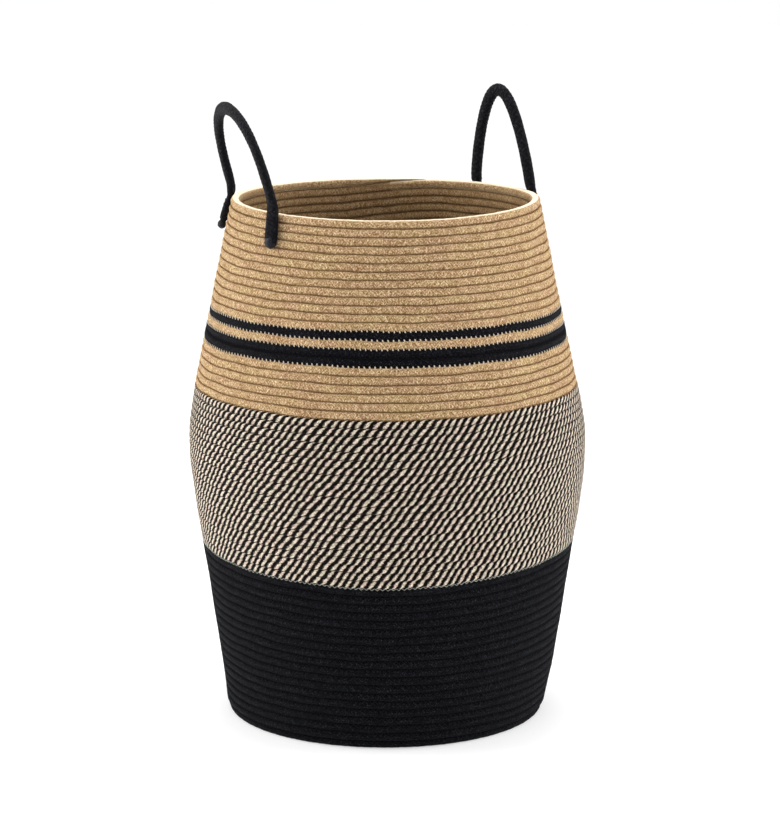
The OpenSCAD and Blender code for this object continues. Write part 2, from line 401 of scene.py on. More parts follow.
def twistedMaterial(name, look):
    # cream and dark strands laid side by side: lay X counts pairs along the rope
    material, shade = newMaterial(name)
    lay = shade.add("ShaderNodeUVMap", {"uv_map": "lay"}, {})
    split = shade.add("ShaderNodeSeparateXYZ", {}, {"Vector": lay})
    along = split.out("X")
    around = split.out("Y")
    pairPhase = along - around * twoTone["pairs"]
    edgeNoise = shade.noise(shade.vector(along * 3.4, around * 18), 1.0, 5.0, 0.8)
    wavyPhase = pairPhase + (edgeNoise - 0.5) * twoTone["raggedness"]
    strandPart = (wavyPhase * 2).fract()
    crown = (strandPart * math.pi).sine() ** 0.6
    # painted shade: a cream strand is painted widest on the outside and narrower towards the turns beside
    # it, so the dark fills in there as shade towards the grooves
    offMiddle = shade.math("ABSOLUTE", around - 0.5)
    pinch = ((offMiddle - 0.015) * 8).clamped()
    halfWide = twoTone["creamShare"] * 0.5 * (twoTone["widest"] - pinch * twoTone["pinch"])
    fromMiddle = shade.math("ABSOLUTE", wavyPhase.fract() - twoTone["creamShare"] / 2)
    isCream = ((halfWide - fromMiddle) * 12 + 0.5).clamped()

    strandNumber = (wavyPhase * 2).floor()
    tint = shade.noise(shade.vector(along * 0.55, around * 2.5, strandNumber * 0.7), 1.0, 2.0, 0.6)
    tone = ((tint - 0.5) * 5 + 0.5).clamped()
    cream = tone.mixed(look["creamPink"], look["creamGreen"])
    fibrePlace = shade.vector(strandPart * 4, along * 1.4 + around * 12, strandNumber)
    fibres = shade.noise(fibrePlace, 1.6, 4.0, 0.7)
    grain = shade.noise(shade.vector(along * 4.2, around * 25), 1.0, 4.0, 0.8)
    # bright lightens the crown of each cream strand: a painted highlight, with random fibres and grain.
    # shadow darkens it to gap towards its edges: painted shade between strands, with random dark flecks
    # from the grain
    bright = (crown * 0.5 + (fibres - 0.5) * 3.5 + (grain - 0.5) * 6.0).clamped()
    cream = bright.mixed(cream, look["cream"])
    shadow = ((crown - 0.30) * 2.6 + (fibres - 0.5) * 2.0 + (grain - 0.47) * 5.0).clamped()
    cream = shadow.mixed(look["gap"], cream)
    dark = ((grain - 0.56) * 5).clamped().mixed(look["dark"], look["gap"])
    colour = isCream.mixed(dark, cream)
    height = crown + fibres * 0.5
    finishMaterial(shade, colour, 0.92 - crown * 0.08, height, look)
    return material


def threadMaterial(name, light, dark, look):
    # plied sewing thread, darker in the valleys between the plies: painted shade, with a slow random tone
    material, shade = newMaterial(name)
    lay = shade.add("ShaderNodeUVMap", {"uv_map": "lay"}, {})
    split = shade.add("ShaderNodeSeparateXYZ", {}, {"Vector": lay})
    along = split.out("X")
    ply = ((along * 3 + split.out("Y") * 2) * math.pi).sine() ** 2
    wear = shade.noise(shade.vector(along * 0.8, split.out("Y")), 1.0, 3.0, 0.6)
    colour = (ply * 0.55 + wear * 0.6 - 0.1).clamped().mixed(dark, light)
    finishMaterial(shade, colour, 0.8 - ply * 0.1, ply, look)
    return material


def meltedMaterial(name, look):
    # the sealed rope end: fused fibres, a little glossy
    material, shade = newMaterial(name)
    place = shade.add("ShaderNodeTexCoord", {}, {}, "Object")
    lumpsEachMetre = 260.0
    streaksEachMetre = 900.0
    lumps = shade.noise(place, lumpsEachMetre, 2.0, 0.5)
    streaks = shade.noise(place, streaksEachMetre, 3.0, 0.6)
    colour = streaks.mixed(look["deep"], look["pale"])
    roughness = 0.30 + lumps * 0.35
    finishMaterial(shade, colour, roughness, lumps + streaks * 0.3, look)
    return material


def sectionPower(value, power):
    return np.sign(value) * np.abs(value) ** (2 / power)


def rolledTube(name, centre, out, deep, high, relief, lay, roundness, material):
    # a tube along centre. relief has a row for each point and a column for each line round the tube.
    # deep is its half size towards out, high its half size across that. Both ends are closed flat
    steps, around = relief.shape
    ahead = np.roll(centre, -1, axis=0) - np.roll(centre, 1, axis=0)
    ahead[0] = centre[1] - centre[0]
    ahead[-1] = centre[-1] - centre[-2]
    ahead /= np.linalg.norm(ahead, axis=1)[:, None]
    out = out - ahead * np.sum(out * ahead, axis=1)[:, None]
    out /= np.linalg.norm(out, axis=1)[:, None]
    side = np.cross(out, ahead)

    # the first and last rows repeat the end, drawn in to a point, and close it
    rows = np.concatenate([[0], np.arange(steps), [steps - 1]])
    size = np.ones(steps + 2)
    size[[0, -1]] = 0
    bm = bmesh.new()
    bmesh.ops.create_grid(bm, x_segments=steps + 1, y_segments=around, size=0.5)
    mesh = bpy.data.meshes.new(name)
    bm.to_mesh(mesh)
    bm.free()

    flat = np.empty(len(mesh.vertices) * 3)
    mesh.vertices.foreach_get("co", flat)
    flat = flat.reshape(-1, 3)
    column = np.rint((flat[:, 0] + 0.5) * (steps + 1)).astype(int)
    line = np.rint((flat[:, 1] + 0.5) * around).astype(int)
    row = rows[column]
    angle = fullTurn * (line / around - 0.5)
    swell = size[column]
    rise = relief[row, line % around] * swell
    outward = sectionPower(np.cos(angle), roundness)
    sideward = sectionPower(np.sin(angle), roundness)
    place = centre[row].copy()
    place += out[row] * ((deep[row] * swell + rise) * outward)[:, None]
    place += side[row] * ((high[row] * swell + rise) * sideward)[:, None]
    mesh.vertices.foreach_set("co", place.ravel())

    corner = np.empty(len(mesh.loops), dtype=int)
    mesh.loops.foreach_get("vertex_index", corner)
    cornerColumn = column[corner]
    cornerLine = line[corner]
    faceColumn = cornerColumn.reshape(-1, 4).min(axis=1)
    layMap = mesh.uv_layers.new(name="lay")
    layCoords = np.stack([lay[rows[cornerColumn]], cornerLine / around], axis=1)
    layMap.data.foreach_set("uv", layCoords.ravel())
    # the long strip of its surface is cut into lengths, stacked to fill a square
    length = np.linalg.norm(np.diff(centre, axis=0), axis=1).sum()
    girth = fullTurn * (deep.mean() + high.mean()) / 2
    strips = max(1, round(math.sqrt(length / girth)))
    stripSteps = math.ceil((steps + 1) / strips)
    strip = np.repeat(faceColumn // stripSteps, 4)
    endMargin = 0.002
    sideMargin = 0.06
    bakeU = endMargin + (1 - 2 * endMargin) * (cornerColumn - strip * stripSteps) / stripSteps
    bakeV = (strip + sideMargin + (1 - 2 * sideMargin) * cornerLine / around) / strips
    bakeMap = mesh.uv_layers.new(name="OFBake")
    bakeMap.data.foreach_set("uv", np.stack([bakeU, bakeV], axis=1).ravel())
    smooth = (faceColumn > 0) & (faceColumn < steps)
    mesh.polygons.foreach_set("use_smooth", smooth)

    bm = bmesh.new()
    bm.from_mesh(mesh)
    bmesh.ops.remove_doubles(bm, verts=bm.verts, dist=1e-7)
    bmesh.ops.recalc_face_normals(bm, faces=bm.faces)
    bm.to_mesh(mesh)
    bm.free()
    mesh.materials.append(material)
    piece = bpy.data.objects.new(name, mesh)
    bpy.context.scene.collection.objects.link(piece)
    return piece


def smallPiece(name, bm, material, node):
    # a finished piece that rides on the basket, from a bmesh
    mesh = bpy.data.meshes.new(name)
    bm.to_mesh(mesh)
    bm.free()
    mesh.polygons.foreach_set("use_smooth", [True] * len(mesh.polygons))
    mesh.materials.append(material)
    piece = bpy.data.objects.new(name, mesh)
    bpy.context.scene.collection.objects.link(piece)
    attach(piece, "basket")
    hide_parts(node)


coil = {
    # degrees: the back, where each turn steps up to the next. The rope winds clockwise from above
    "stepAt": 88,
    "stepShare": 0.12,  # of a turn
    "ropeDeep": 5.5 * mm,  # half the rope's thickness, out from the wall
    "pressed": 0.32 * mm,  # how far a turn is pressed into its neighbours
    "baseHigh": 4.95 * mm,  # half the height of the flat base
    "twoToneHigh": 9.4 * mm,  # height of a two-tone turn
    "wander": 1.0 * mm,  # how far the turns stray together from their true place
    "wanderOut": 0.5,  # of that, in and out
    "ownWander": 0.22 * mm,  # how far a turn strays by itself
    "calmTurns": 3,  # under the rim, where the turns stray less
    "calmShare": 0.15,
    "bow": 12 * mm,  # how much higher the lower turns sit at the sides than at the front
    "bowReach": 490 * mm,  # height under which they do
    "rise": 3.3 * mm,  # how much higher the same turns sit all round
    "rightRise": 4 * mm,
    "frontDip": 5.4 * mm,  # how far the rim sags in front
    "dipFrom": 520 * mm,
    "dipPower": 1.2,
    "sideShift": 3.0 * mm,  # how far the lower wall bulges to the right
    "shiftFrom": (8 * mm, 60 * mm),  # height where that starts, and over which it grows
    "shiftTo": (480 * mm, 180 * mm),  # height where it ends, and over which it fades
    "bellySwell": 3.5 * mm,
    "bellyHeight": 335 * mm,
    "bellyReach": 75 * mm,
    "stitch": 6.3 * mm,  # length of one stitch, there and back
}
bandNames = [
    "black_coil", "two_tone_coil", "lower_tan_coil", "double_stripe_coil",
    "tan_stripe_coil", "black_stripe_coil", "upper_tan_coil", "rim_coil",
]
detail = 1.0


def readRings():
    rimLow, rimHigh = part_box("rim_coil")
    pitch = rimHigh.z - rimLow.z
    _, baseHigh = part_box("base_coil")
    cornerRadius = baseHigh.x - coil["ropeDeep"]
    baseTurns = round(cornerRadius / pitch)
    radius = [cornerRadius * (i + 1) / baseTurns for i in range(baseTurns)]
    height = [pitch / 2] * baseTurns
    bands = {"base_coil": (0, baseTurns)}
    for name in bandNames:
        mesh = frame["nodes"][name].data
        points = np.empty(len(mesh.vertices) * 3)
        mesh.vertices.foreach_get("co", points)
        points = points.reshape(-1, 3)
        low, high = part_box(name)
        turnHigh = coil["twoToneHigh"] if name == "two_tone_coil" else pitch
        turns = round((high.z - low.z) / turnHigh)
        bands[name] = (len(radius), turns)
        for i in range(turns):
            middle = low.z + (i + 0.5) * turnHigh
            near = np.abs(points[:, 2] - middle) < 0.3 * turnHigh
            radius.append(np.hypot(points[near, 0], points[near, 1]).max() - coil["ropeDeep"])
            height.append(middle)
    return pitch, bands, np.array(radius), np.array(height)


pitch, bands, ringRadius, ringHeight = readRings()
ringNumber = np.arange(len(ringRadius))
baseTurns = bands["base_coil"][1]
print("coil of", len(ringRadius), "turns,", baseTurns, "of them in the base")


def stepUp(turns):
    # how far the rope has climbed to the next turn, from 0 to 1
    part = turns - np.floor(turns)
    share = np.clip((part - 1 + coil["stepShare"]) / coil["stepShare"], 0, 1)
    return share * share * (3 - 2 * share)


def azimuthAt(turns):
    return math.radians(coil["stepAt"]) - fullTurn * (turns + coil["stepShare"] / 2)


def wave(turns, level, swings):
    # a sum of slow waves. A whole number of them goes round a turn, so neighbours stray together
    total = 0
    for count, drift, phase in swings:
        total = total + np.sin(fullTurn * (count * turns + drift * level) + phase)
    return total / len(swings)


def ringPoint(turns):
    # radius and height of the rope's middle after so many turns from the centre of the base
    level = np.floor(turns) + stepUp(turns)
    radius = np.interp(level, ringNumber, ringRadius)
    height = np.interp(level, ringNumber, ringHeight)
    onWall = np.clip(level - baseTurns, 0, 1)
    belowRim = np.clip((ringNumber[-1] - level) / coil["calmTurns"], coil["calmShare"], 1)
    lift = np.sin(math.pi * np.clip(height / coil["bowReach"], 0, 1)) ** 2
    azimuth = azimuthAt(turns)
    rightward = np.maximum(0, np.cos(azimuth))
    forward = np.maximum(0, -np.sin(azimuth))
    bow = lift * (coil["bow"] * np.cos(azimuth) ** 2 + coil["rise"] + coil["rightRise"] * rightward)
    dipping = np.clip((height - coil["dipFrom"]) / (ringHeight[-1] - coil["dipFrom"]), 0, 1)
    bow -= coil["frontDip"] * forward ** coil["dipPower"] * dipping
    together = wave(turns, level, [(3, 0.041, 0.4), (7, 0.067, 2.0), (13, 0.11, 4.1), (22, 0.19, 1.0)])
    alone = wave(turns, level, [(5.37, 0, 0.7), (11.61, 0, 2.1), (19.23, 0, 3.3)])
    wallHeight = height + (bow + coil["wander"] * together * belowRim) * onWall
    wall = ringNumber >= baseTurns
    bulge = np.interp(wallHeight, ringHeight[wall], ringRadius[wall])
    bulge -= np.interp(height, ringHeight[wall], ringRadius[wall])
    inOut = wave(turns, level, [(4, 0.053, 1.7), (9, 0.083, 0.2), (6.83, 0, 5.0)])
    radius = radius + (bulge + coil["wanderOut"] * coil["wander"] * inOut) * onWall
    height = wallHeight + coil["ownWander"] * alone * onWall * belowRim
    return radius, height


def turnSize(turns):
    # half the distance between neighbouring turns, at each place
    last = len(ringNumber) - 1
    inward = np.where(turns > last - 1, 1.0, 0.0) - np.where(turns < 1, 1.0, 0.0)
    lowRadius, lowHeight = ringPoint(turns - 1 - inward)
    highRadius, highHeight = ringPoint(turns + 1 - inward)
    return np.hypot(highRadius - lowRadius, highHeight - lowHeight) / 4


def outwardAt(turns):
    azimuth = azimuthAt(turns)
    return np.stack([np.cos(azimuth), np.sin(azimuth), np.zeros_like(azimuth)], axis=1)


def placeAt(turns, radius, height):
    # a point so far out and up, with the soft wall's own bulges
    belly = np.exp(-(((height - coil["bellyHeight"]) / coil["bellyReach"]) ** 2))
    centre = outwardAt(turns) * (radius + coil["bellySwell"] * belly)[:, None]
    shiftLow, growOver = coil["shiftFrom"]
    shiftHigh, fadeOver = coil["shiftTo"]
    shifted = np.clip((height - shiftLow) / growOver, 0, 1) * np.clip((shiftHigh - height) / fadeOver, 0, 1)
    centre[:, 0] += coil["sideShift"] * shifted
    centre[:, 2] = height
    return centre


def spacedTurns(first, last, spacing):
    # turns from first to last, with points about `spacing` apart along the rope, and the distance to each
    finePoints = max(200, int((last - first) * 720))
    fine = np.linspace(first, last, finePoints)
    radius, _ = ringPoint(fine)
    lengths = np.concatenate([[0], np.cumsum((radius[1:] + radius[:-1]) / 2 * np.diff(fine) * fullTurn)])
    count = max(8, round(lengths[-1] / spacing))
    distance = np.linspace(0, lengths[-1], count + 1)
    return np.interp(distance, lengths, fine), distance


def sectionAt(turns):
    # half sizes of the rope, outwards and upwards. It lies flat in the base and stands on edge in the wall
    onWall = np.clip(turns - baseTurns + 1, 0, 1)
    size = turnSize(turns) + coil["pressed"]
    deep = size + (coil["ropeDeep"] - size) * onWall
    high = coil["baseHigh"] + (size - coil["baseHigh"]) * onWall
    return deep, high


def coilRope(name, node, first, last, style, layOf, reliefOf, material, taper=False):
    turns, distance = spacedTurns(first, last, style["spacing"] / detail)
    radius, height = ringPoint(turns)
    out = outwardAt(turns)
    deep, high = sectionAt(turns)
    if taper:
        # the last turn thins out over the step of the turn under it
        room = 1 - stepUp(turns) * (turns > last - 0.5)
        height = height + pitch / 2 * (1 - room)
        high = high * room
        deep = deep * (braided["thinEnd"] + (1 - braided["thinEnd"]) * room)
    centre = placeAt(turns, radius, height)
    lay = layOf(turns, distance)
    line = np.arange(style["lines"]) / style["lines"]
    relief = reliefOf(lay[:, None], line[None, :])
    rope = rolledTube(name, centre, out, deep, high, relief, lay, style["roundness"], material)
    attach(rope, "basket")
    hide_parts(node)


# spacing is from point to point along a rope, and lines is how many points go round it
braided = {
    "tan": {"spacing": 1.7 * mm, "lines": 14, "roundness": 3.5},  # 2 is an ellipse, more is squarer
    "rim": {"spacing": 1.4 * mm, "lines": 20, "roundness": 2.5},
    "black": {"spacing": 2.2 * mm, "lines": 12, "roundness": 2.7},
    "strands": 11,  # in each direction
    "strandStep": 2.0 * mm,  # from one strand to the next, along the rope
    "relief": 0.14 * mm,
    "turnsEach": 6,  # most turns in one piece
    "rimEnd": 0.02,  # of a turn, which the rim's end stops short
    "thinEnd": 0.55,  # thickness of that end, of the rope's
}


def braidLay(turns, distance):
    return distance / braided["strandStep"]


def braidRelief(lay, line):
    slow = np.sin(lay * 0.37) * 0.5 + np.sin(lay * 0.83 + 1) * 0.5
    return braided["relief"] * (slow + 0.5 * np.sin(fullTurn * (lay * 0.25 + 2 * line)))


def braidedBand(label, node, kind, material, taper=0.0, startEarly=0.0, endEarly=0.0):
    first, turns = bands[node]
    parts = math.ceil(turns / braided["turnsEach"])
    cuts = [first + round(turns * i / parts) for i in range(parts + 1)]
    cuts[0] -= startEarly
    cuts[-1] -= endEarly
    for i in range(parts):
        name = label if parts == 1 else f"{label}_{i + 1}"
        last = cuts[i + 1] - taper
        coilRope(
            name, node, cuts[i], last, braided[kind], braidLay, braidRelief, material, taper > 0
        )


twoTone = {
    "pairs": 3,  # of a cream and a dark strand, in the rope
    "creamShare": 0.51,
    "pairsRound": 148,  # along one turn
    "widest": 1.18,  # a cream strand in the middle, against its share
    "pinch": 0.72,  # how much it narrows towards the next turn, as painted shade
    "raggedness": 0.60,  # of its edges
    "shift": 0.70,  # of a pair, from one turn to the next
    "relief": 0.45 * mm,
    "samples": 7,  # points for each pair
    "lines": 14,
    "roundness": 3.8,
    "turnsEach": 6,
}


def twoToneLay(turns, distance):
    level = np.floor(turns) + stepUp(turns)
    stray = wave(turns, level, [(5, 0.07, 0.0), (11.7, 0, 1.0), (23.1, 0, 2.0)]) * 0.30
    return turns * twoTone["pairsRound"] + level * twoTone["shift"] + stray


def twoToneRelief(lay, line):
    strand = 2 * (lay - line * twoTone["pairs"])
    return twoTone["relief"] * (np.abs(np.sin(math.pi * strand)) ** 0.7 - 0.65)


def twoToneBand(material):
    first, turns = bands["two_tone_coil"]
    parts = math.ceil(turns / twoTone["turnsEach"])
    cuts = [first + round(turns * i / parts) for i in range(parts + 1)]
    spacing = fullTurn * ringRadius.max() / (twoTone["pairsRound"] * twoTone["samples"])
    for i in range(parts):
        coilRope(
            f"two_tone_rope_{i + 1}", "two_tone_coil", cuts[i], cuts[i + 1],
            {**twoTone, "spacing": spacing}, twoToneLay, twoToneRelief, material,
        )


# thick is half the thread's thickness, reach is how far a stitch goes from the groove,
# and sunk is how far the thread's middle lies under the surface of the ropes
sewing = {
    "border": {"thick": 0.42 * mm, "reach": 1.2 * mm, "sunk": 0.05 * mm},
    "blackBorder": {"thick": 0.75 * mm, "reach": 1.1 * mm, "sunk": 0.60 * mm},
    "tan": {"thick": 0.36 * mm, "reach": 1.2 * mm, "sunk": 0.14 * mm},
    "grey": {"thick": 0.24 * mm, "reach": 0.8 * mm, "sunk": 0.30 * mm},
    "black": {"thick": 0.50 * mm, "reach": 2.1 * mm, "sunk": 0.15 * mm},
    "roundness": 3.2,  # of the ropes beside it
    "reachStray": (0.75, 1.15),
}


def zigzag(name, node, kind, first, last, material, inside=False):
    # thread that crosses the groove between each turn and the next one, from turn `first`
    style = sewing[kind]
    turns, distance = spacedTurns(first, last, coil["stitch"] / 2)
    lowR, lowZ = ringPoint(turns)
    highR, highZ = ringPoint(turns + 1)
    apart = np.hypot(highR - lowR, highZ - lowZ)
    alongR = (highR - lowR) / apart
    alongZ = (highZ - lowZ) / apart
    faceR = alongZ
    faceZ = -alongR
    if inside:
        faceR = -faceR
        faceZ = -faceZ
    onWall = np.clip(turns - baseTurns + 1, 0, 1)
    deep = coil["baseHigh"] + (coil["ropeDeep"] - coil["baseHigh"]) * onWall
    high = apart / 2 + coil["pressed"]
    chance = np.random.default_rng(len(name))
    shortest, longest = sewing["reachStray"]
    reach = style["reach"] * chance.uniform(shortest, longest, len(turns))
    side = np.where(np.arange(len(turns)) % 2 == 0, 1.0, -1.0)
    fromMiddle = np.clip((apart / 2 - reach) / high, 0, 0.98)
    power = sewing["roundness"]
    proud = deep * (1 - fromMiddle ** power) ** (1 / power) - style["sunk"]
    radius = (lowR + highR) / 2 + alongR * reach * side + faceR * proud
    height = (lowZ + highZ) / 2 + alongZ * reach * side + faceZ * proud
    out = outwardAt(turns)
    centre = placeAt(turns, radius, height)
    facing = out * faceR[:, None]
    facing[:, 2] = faceZ
    slope = math.hypot(1, 4 * style["reach"] / coil["stitch"])  # so that slanting stitches keep their width
    relief = np.zeros((len(turns), 4))
    thick = np.full(len(turns), style["thick"])
    thread = rolledTube(
        name, centre, facing, thick, thick * slope, relief, distance / coil["stitch"] * 2, 2, material
    )
    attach(thread, "basket")
    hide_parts(node)


borderStitch = {
    "halfLong": 1.5 * mm,
    "halfWide": 0.85 * mm,
    "halfThick": 0.6 * mm,
    "offset": 0.1 * mm,  # from the groove towards the black turn
    "proud": 4.7 * mm,  # out from the middle of the ropes
    "lean": 0.25,  # radians
    "leanStray": 0.2,
}


def crossStitches(name, node, first, last, blackSide, material):
    # short stitches across the groove between a tan turn and a black one.
    # blackSide is 1 where the black turn is the upper one
    turns, _ = spacedTurns(first, last, coil["stitch"])
    lowR, lowZ = ringPoint(turns)
    highR, highZ = ringPoint(turns + 1)
    outs = outwardAt(turns)
    centres = placeAt(turns, (lowR + highR) / 2, (lowZ + highZ) / 2)
    chance = np.random.default_rng(len(name))
    halfSizes = [borderStitch[part] for part in ("halfWide", "halfThick", "halfLong")]
    size = Matrix.Diagonal((*halfSizes, 1))
    bm = bmesh.new()
    bm.loops.layers.uv.new("lay")
    bmesh.ops.create_uvsphere(bm, u_segments=8, v_segments=6, radius=1, matrix=size, calc_uvs=True)
    stitch = bpy.data.meshes.new("one stitch")
    bm.to_mesh(stitch)
    bm.clear()
    for i in range(len(turns)):
        upward = Vector(outs[i]) * (highR[i] - lowR[i]) + Vector((0, 0, highZ[i] - lowZ[i]))
        upward.normalize()
        forward = Vector((-outs[i][1], outs[i][0], 0))
        facing = forward.cross(upward)
        place = Vector(centres[i]) + facing * borderStitch["proud"]
        place += upward * borderStitch["offset"] * blackSide
        turn = Matrix((-forward, facing, upward)).transposed().to_4x4()
        stray = chance.uniform(-borderStitch["leanStray"], borderStitch["leanStray"])
        lean = Matrix.Rotation(borderStitch["lean"] + stray, 4, "Y")
        placed = stitch.copy()
        placed.transform(Matrix.Translation(place) @ turn @ lean)
        bm.from_mesh(placed)
        bpy.data.meshes.remove(placed)
    bpy.data.meshes.remove(stitch)
    bmesh.ops.recalc_face_normals(bm, faces=bm.faces)
    smallPiece(name, bm, material, node)


handle = {
    "halfWide": 8.0 * mm,
    "sewnSpread": 0.11,  # how much wider the sewing makes a leg
    "halfThick": 5.4 * mm,
    "roundness": 2.3,
    "spacing": 1.5 * mm,
    "lines": 24,
    "strands": 6,
    "strandStep": 6.0 * mm,
    "relief": 0.30 * mm,
    "legLength": 45 * mm,
    "hingeGap": 2 * mm,  # left free between a leg's points and the hinge
    "legPoints": 22,
    "loopPoints": 181,
    "legTilt": 11.88,  # degrees, the slope of the wall under the rim
    "pinchBelow": 11 * mm,  # under the hinge, where a leg is pinched
    "pinchReach": 6 * mm,
    "widestAt": 12 * mm,  # over a leg's lower end
    "widestReach": 15 * mm,
    "ballDrawn": 1.25,  # how far the ball at the rope's end is drawn up into the neck
    "bendLength": 9 * mm,  # over which the rope turns from the loop into a leg
    "fixedBelow": 8 * mm,  # under the hinge
    "freeAbove": 9 * mm,  # over the hinge
    "neckLength": 9 * mm,
    "stitchStart": 15 * mm,
    "stitchLength": 3.6 * mm,
    "stitchWide": 0.5 * mm,  # half a stitch's width
    "stitchThick": 0.55 * mm,
    "stitchLean": 0.15,  # radians, either way
    "stitchPitch": 5.6 * mm,
    "stitchRows": 2.6 * mm,
    "stitchCount": 5,
}
handleShapes = {
    "left": {"span": 186 * mm, "rise": 112 * mm, "fullness": 3.05, "lean": 15.5, "front": 1},
    "right": {"span": 108 * mm, "rise": 116 * mm, "fullness": 1.2, "lean": -4, "front": -1},
}
# drift is how far a leg's lower end lies away from the middle of its handle, proud how far that end
# stands off the wall, neck how thick it still is at that end, pinch how much is lost under the rim,
# ball the radius of the sealed end, and drop how much lower the ball's middle lies, in radii
legShapes = {
    "front": {
        "drift": 5 * mm, "proud": 0.4 * mm, "neck": 0.90, "pinch": 0.0, "ball": 7.3 * mm, "drop": -0.15,
    },
    "rear": {
        "drift": 0 * mm, "proud": 3.2 * mm, "neck": 0.45, "pinch": 0.28, "ball": 5.5 * mm, "drop": 0.6,
    },
}


def legName(side, end):
    return "front" if end == handleShapes[side]["front"] else "rear"


def handlePlace(side):
    joint = next(j for j in frame["joints"] if j["child"] == side + "_handle")
    hinge = Vector(joint["pos_m"])
    azimuth = math.atan2(hinge.y, hinge.x)
    distance = math.hypot(hinge.x, hinge.y)
    half = math.atan2(handleShapes[side]["span"] / 2, distance)
    return hinge, azimuth, half, math.hypot(distance, handleShapes[side]["span"] / 2)


def legPoint(side, end, down):
    # a place on the middle of a leg, `down` below its hinge, with the way that it faces
    hinge, azimuth, half, reach = handlePlace(side)
    turn = azimuth + end * half
    out = Vector((math.cos(turn), math.sin(turn), 0))
    tilt = math.radians(handle["legTilt"])
    place = out * (reach + down * math.sin(tilt))
    place.z = hinge.z - down * math.cos(tilt)
    facing = out * math.cos(tilt) + Vector((0, 0, math.sin(tilt)))
    shape = legShapes[legName(side, end)]
    lower = down / handle["legLength"]
    place += Vector((-math.sin(turn), math.cos(turn), 0)) * shape["drift"] * end * lower
    place += facing * shape["proud"] * lower ** 2
    return place, facing


def thinning(leg, away):
    # how thin a leg is, `away` from its lower end: drawn in at its neck, and pinched under the rim
    nearNeck = np.clip(away / handle["neckLength"], 0, 1)
    neck = leg["neck"] + (1 - leg["neck"]) * np.sin(nearNeck * math.pi / 2)
    fromPinch = away - handle["legLength"] + handle["pinchBelow"]
    underRim = np.exp(-((fromPinch / handle["pinchReach"]) ** 2))
    return neck * (1 - leg["pinch"] * underRim)


def handleRope(side, material):
    shape = handleShapes[side]
    hinge, azimuth, _, _ = handlePlace(side)
    outward = Vector((math.cos(azimuth), math.sin(azimuth), 0))
    sideways = Vector((-math.sin(azimuth), math.cos(azimuth), 0))
    lean = math.radians(shape["lean"])
    up = outward * math.sin(lean) + Vector((0, 0, math.cos(lean)))
    facing = outward * math.cos(lean) - Vector((0, 0, math.sin(lean)))

    places = []
    facings = []
    for down in np.linspace(handle["legLength"], handle["hingeGap"], handle["legPoints"]):
        place, legFacing = legPoint(side, 1, down)
        places.append(place)
        facings.append(legFacing)
    for turn in np.linspace(0, math.pi, handle["loopPoints"])[1:-1]:
        across = shape["span"] / 2 * math.cos(turn)
        rise = shape["rise"] * math.sin(turn) ** (2 / shape["fullness"])
        places.append(hinge + sideways * across + up * rise)
        facings.append(facing)
    for down in np.linspace(handle["hingeGap"], handle["legLength"], handle["legPoints"]):
        place, legFacing = legPoint(side, -1, down)
        places.append(place)
        facings.append(legFacing)
    places = np.array(places)
    facings = np.array(facings)

    # points evenly along the rope, with its bends eased
    lengths = np.concatenate([[0], np.cumsum(np.linalg.norm(np.diff(places, axis=0), axis=1))])
    distance = np.linspace(0, lengths[-1], round(lengths[-1] / (handle["spacing"] / detail)) + 1)
    centre = np.stack([np.interp(distance, lengths, places[:, i]) for i in range(3)], axis=1)
    out = np.stack([np.interp(distance, lengths, facings[:, i]) for i in range(3)], axis=1)
    passes = round((handle["bendLength"] / (distance[1] - distance[0])) ** 2 / 2)
    for _ in range(passes):
        centre[1:-1] += (centre[:-2] + centre[2:] - 2 * centre[1:-1]) * 0.25
        out[1:-1] += (out[:-2] + out[2:] - 2 * out[1:-1]) * 0.25

    wide = np.full(len(distance), handle["halfWide"])
    thick = np.full(len(distance), handle["halfThick"])
    for end, away in ((1, distance), (-1, lengths[-1] - distance)):
        thin = thinning(legShapes[legName(side, end)], away)
        sewn = np.exp(-(((away - handle["widestAt"]) / handle["widestReach"]) ** 2))
        wide *= thin * (1 + handle["sewnSpread"] * sewn)
        thick *= thin
    lay = distance / handle["strandStep"]
    line = np.arange(handle["lines"]) / handle["lines"]
    strands = fullTurn * handle["strands"] * line[None, :]
    lumps = np.sin(lay * 1.5) * 0.4 + np.sin(lay * 0.53 + 1) * 0.5
    ridges = np.cos(fullTurn * lay)[:, None] * np.cos(strands)
    relief = handle["relief"] * (ridges + lumps[:, None] * 0.6)
    rope = rolledTube(
        side + "_handle_rope", centre, out, thick, wide, relief, lay, handle["roundness"], material
    )
    end = Vector((hinge.x, hinge.y, hinge.z + handle["freeAbove"]))
    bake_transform(rope)
    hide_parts(side + "_loop", side + "_front_leg", side + "_rear_leg")


def ropeEnd(side, where, material):
    # the ball that the end of the rope was melted into
    end = handleShapes[side]["front"] * (1 if where == "front" else -1)
    ball = legShapes[where]["ball"]
    place, facing = legPoint(side, end, handle["legLength"] + legShapes[where]["drop"] * ball)
    bm = bmesh.new()
    bmesh.ops.create_uvsphere(bm, u_segments=28, v_segments=20, radius=ball)
    for v in bm.verts:
        x, y, z = v.co / ball
        lump = 0.05 * math.sin(5 * x + 1) * math.sin(4 * y + 2) + 0.03 * math.sin(9 * z + 3 * x)
        v.co *= 1 + lump
        if z > 0:
            v.co.z *= handle["ballDrawn"]
    facingTurn = facing.to_track_quat("Y", "Z").to_matrix().to_4x4()
    bmesh.ops.transform(bm, matrix=Matrix.Translation(place) @ facingTurn, verts=bm.verts)
    smallPiece(f"{side}_{where}_rope_end", bm, material, f"{side}_{where}_tip")


